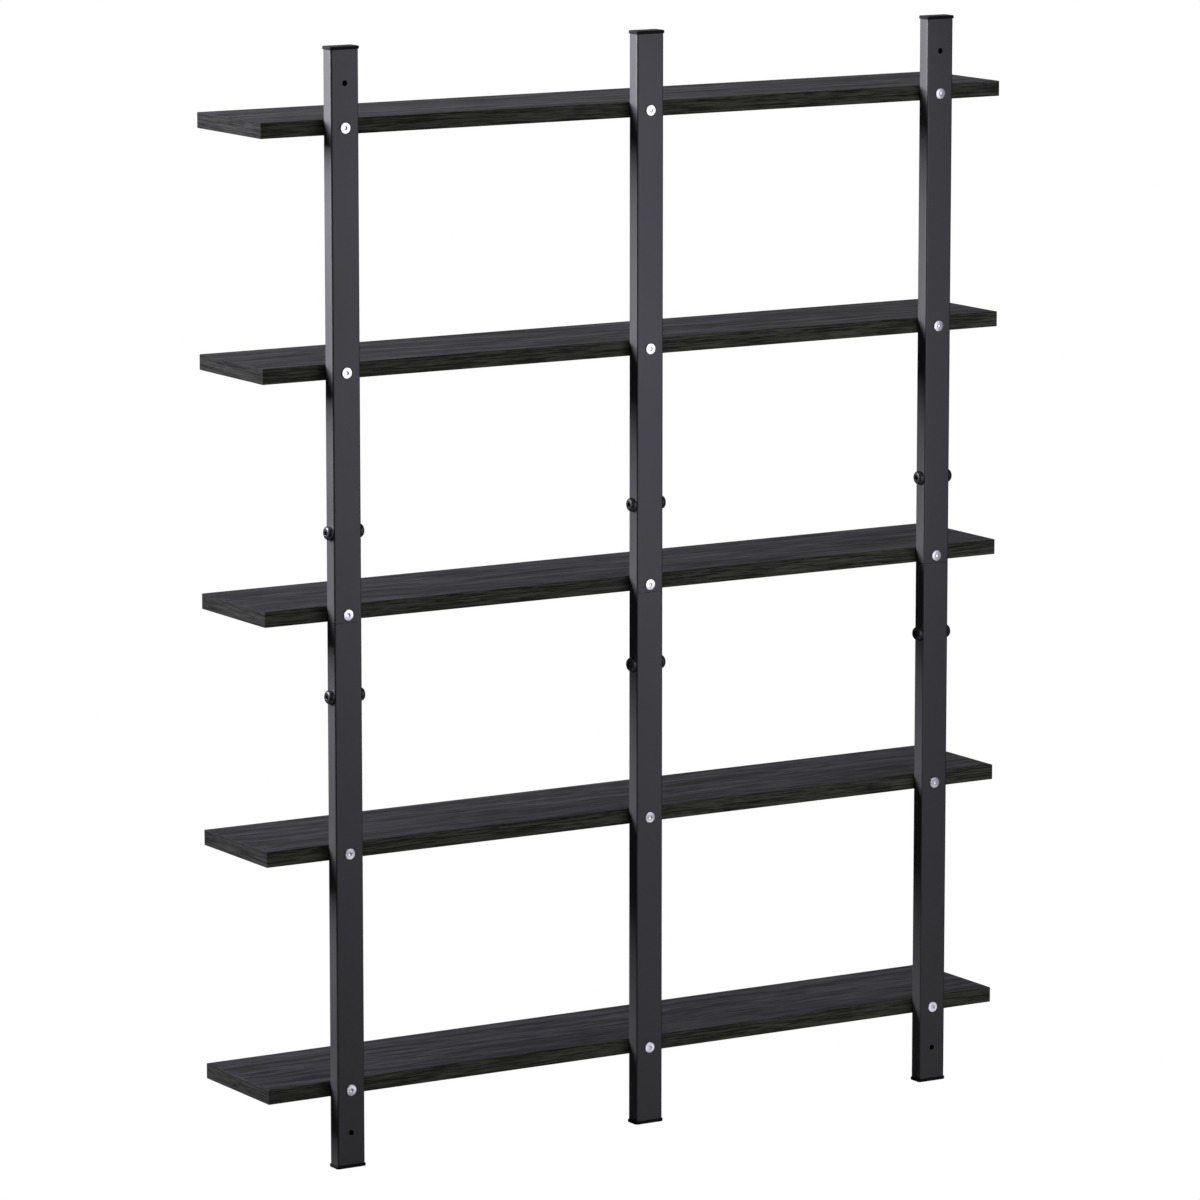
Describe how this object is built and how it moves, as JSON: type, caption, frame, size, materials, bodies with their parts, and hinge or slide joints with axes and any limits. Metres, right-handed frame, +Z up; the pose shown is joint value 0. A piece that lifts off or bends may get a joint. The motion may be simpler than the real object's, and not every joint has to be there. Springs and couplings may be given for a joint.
{
  "type": "wall shelf",
  "caption": "Open wall shelf with straight dark oak-grain boards screwed edge-on to slim jointed steel posts that fix flat against a wall.",
  "frame": {"origin": "on the wall plane of the posts, on the centre post's axis, level with the middle board's centre, which is half the shelf's height", "axes": "+Z up, +Y out of the wall into the room, +X along the boards"},
  "size_m": [0.83, 0.1416, 1.0706],
  "materials": {
    "post_powder_coat": "satin black powder coat",
    "board_dark_oak": "matt black oak grain",
    "cap_plastic": "matt black moulding",
    "screw_zinc": "bright zinc plate",
    "bolt_black": "black oxide",
    "joiner_steel": "plain steel"
  },
  "bodies": {
    "root": {"upper_post_left": "post_powder_coat", "upper_post_centre": "post_powder_coat", "upper_post_right": "post_powder_coat", "lower_post_left": "post_powder_coat", "lower_post_centre": "post_powder_coat", "lower_post_right": "post_powder_coat", "shelf_board_1": "board_dark_oak", "shelf_board_2": "board_dark_oak", "shelf_board_3": "board_dark_oak", "shelf_board_4": "board_dark_oak", "shelf_board_5": "board_dark_oak", "top_cap_left": "cap_plastic", "top_cap_centre": "cap_plastic", "top_cap_right": "cap_plastic", "bottom_cap_left": "cap_plastic", "bottom_cap_centre": "cap_plastic", "bottom_cap_right": "cap_plastic", "post_joiner_left": "joiner_steel", "post_joiner_centre": "joiner_steel", "post_joiner_right": "joiner_steel", "shelf_screw_left_1": "screw_zinc", "shelf_screw_left_2": "screw_zinc", "shelf_screw_left_3": "screw_zinc", "shelf_screw_left_4": "screw_zinc", "shelf_screw_left_5": "screw_zinc", "shelf_screw_centre_1": "screw_zinc", "shelf_screw_centre_2": "screw_zinc", "shelf_screw_centre_3": "screw_zinc", "shelf_screw_centre_4": "screw_zinc", "shelf_screw_centre_5": "screw_zinc", "shelf_screw_right_1": "screw_zinc", "shelf_screw_right_2": "screw_zinc", "shelf_screw_right_3": "screw_zinc", "shelf_screw_right_4": "screw_zinc", "shelf_screw_right_5": "screw_zinc", "joiner_bolt_left_upper_left_side": "bolt_black", "joiner_bolt_left_upper_right_side": "bolt_black", "joiner_bolt_left_lower_left_side": "bolt_black", "joiner_bolt_left_lower_right_side": "bolt_black", "joiner_bolt_centre_upper_left_side": "bolt_black", "joiner_bolt_centre_upper_right_side": "bolt_black", "joiner_bolt_centre_lower_left_side": "bolt_black", "joiner_bolt_centre_lower_right_side": "bolt_black", "joiner_bolt_right_upper_left_side": "bolt_black", "joiner_bolt_right_upper_right_side": "bolt_black", "joiner_bolt_right_lower_left_side": "bolt_black", "joiner_bolt_right_lower_right_side": "bolt_black"}
  },
  "joints": []
}
